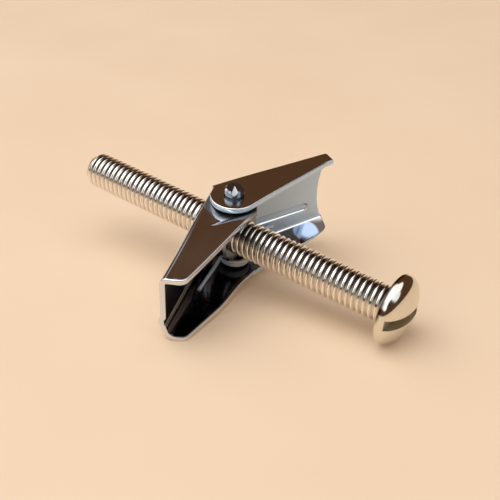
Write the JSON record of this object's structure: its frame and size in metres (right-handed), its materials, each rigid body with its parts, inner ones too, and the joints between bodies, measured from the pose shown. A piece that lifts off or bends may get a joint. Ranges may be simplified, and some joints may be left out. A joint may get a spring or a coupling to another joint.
{
  "type": "spring toggle anchor",
  "caption": "Spring toggle wall anchor: slotted round-head machine screw carrying a trunnion nut with two sprung, folding sheet-metal wings.",
  "frame": {"origin": "centre of the bearing face under the screw's head, on the screw's axis", "axes": "+X along the screw, out of the wall towards the head; +Z along the pins that the wings turn on; +Y towards the outer wing's tip"},
  "size_m": [0.0626, 0.0412, 0.0178],
  "materials": {
    "machine_screw": "bright nickel-plated steel",
    "trunnion_nut": "bright zinc-plated steel",
    "torsion_spring": "bright drawn spring steel wire",
    "outer_wing": "bright zinc-plated sheet steel",
    "inner_wing": "bright zinc-plated sheet steel"
  },
  "bodies": {
    "screw": {"machine_screw": "machine_screw"},
    "nut": {"trunnion_nut": "trunnion_nut", "torsion_spring": "torsion_spring"},
    "outer_wing": {"outer_wing": "outer_wing"},
    "inner_wing": {"inner_wing": "inner_wing"}
  },
  "joints": [
    {"name": "nut_travel", "type": "slide", "parent": "screw", "child": "nut", "axis": [1, 0, 0], "range_m": [-0.029, 0.007]},
    {"name": "outer_wing_fold", "type": "hinge", "parent": "nut", "child": "outer_wing", "pos_m": [-0.029, 0, 0], "axis": [0, 0, -1], "range_deg": [0, 60], "stiffness_Nm_per_rad": 0.02, "springref_deg": -28.65, "deforming": ["torsion_spring"]},
    {"name": "inner_wing_fold", "type": "hinge", "parent": "nut", "child": "inner_wing", "pos_m": [-0.029, 0, 0], "axis": [0, 0, 1], "range_deg": [0, 60], "stiffness_Nm_per_rad": 0.02, "springref_deg": -28.65}
  ]
}
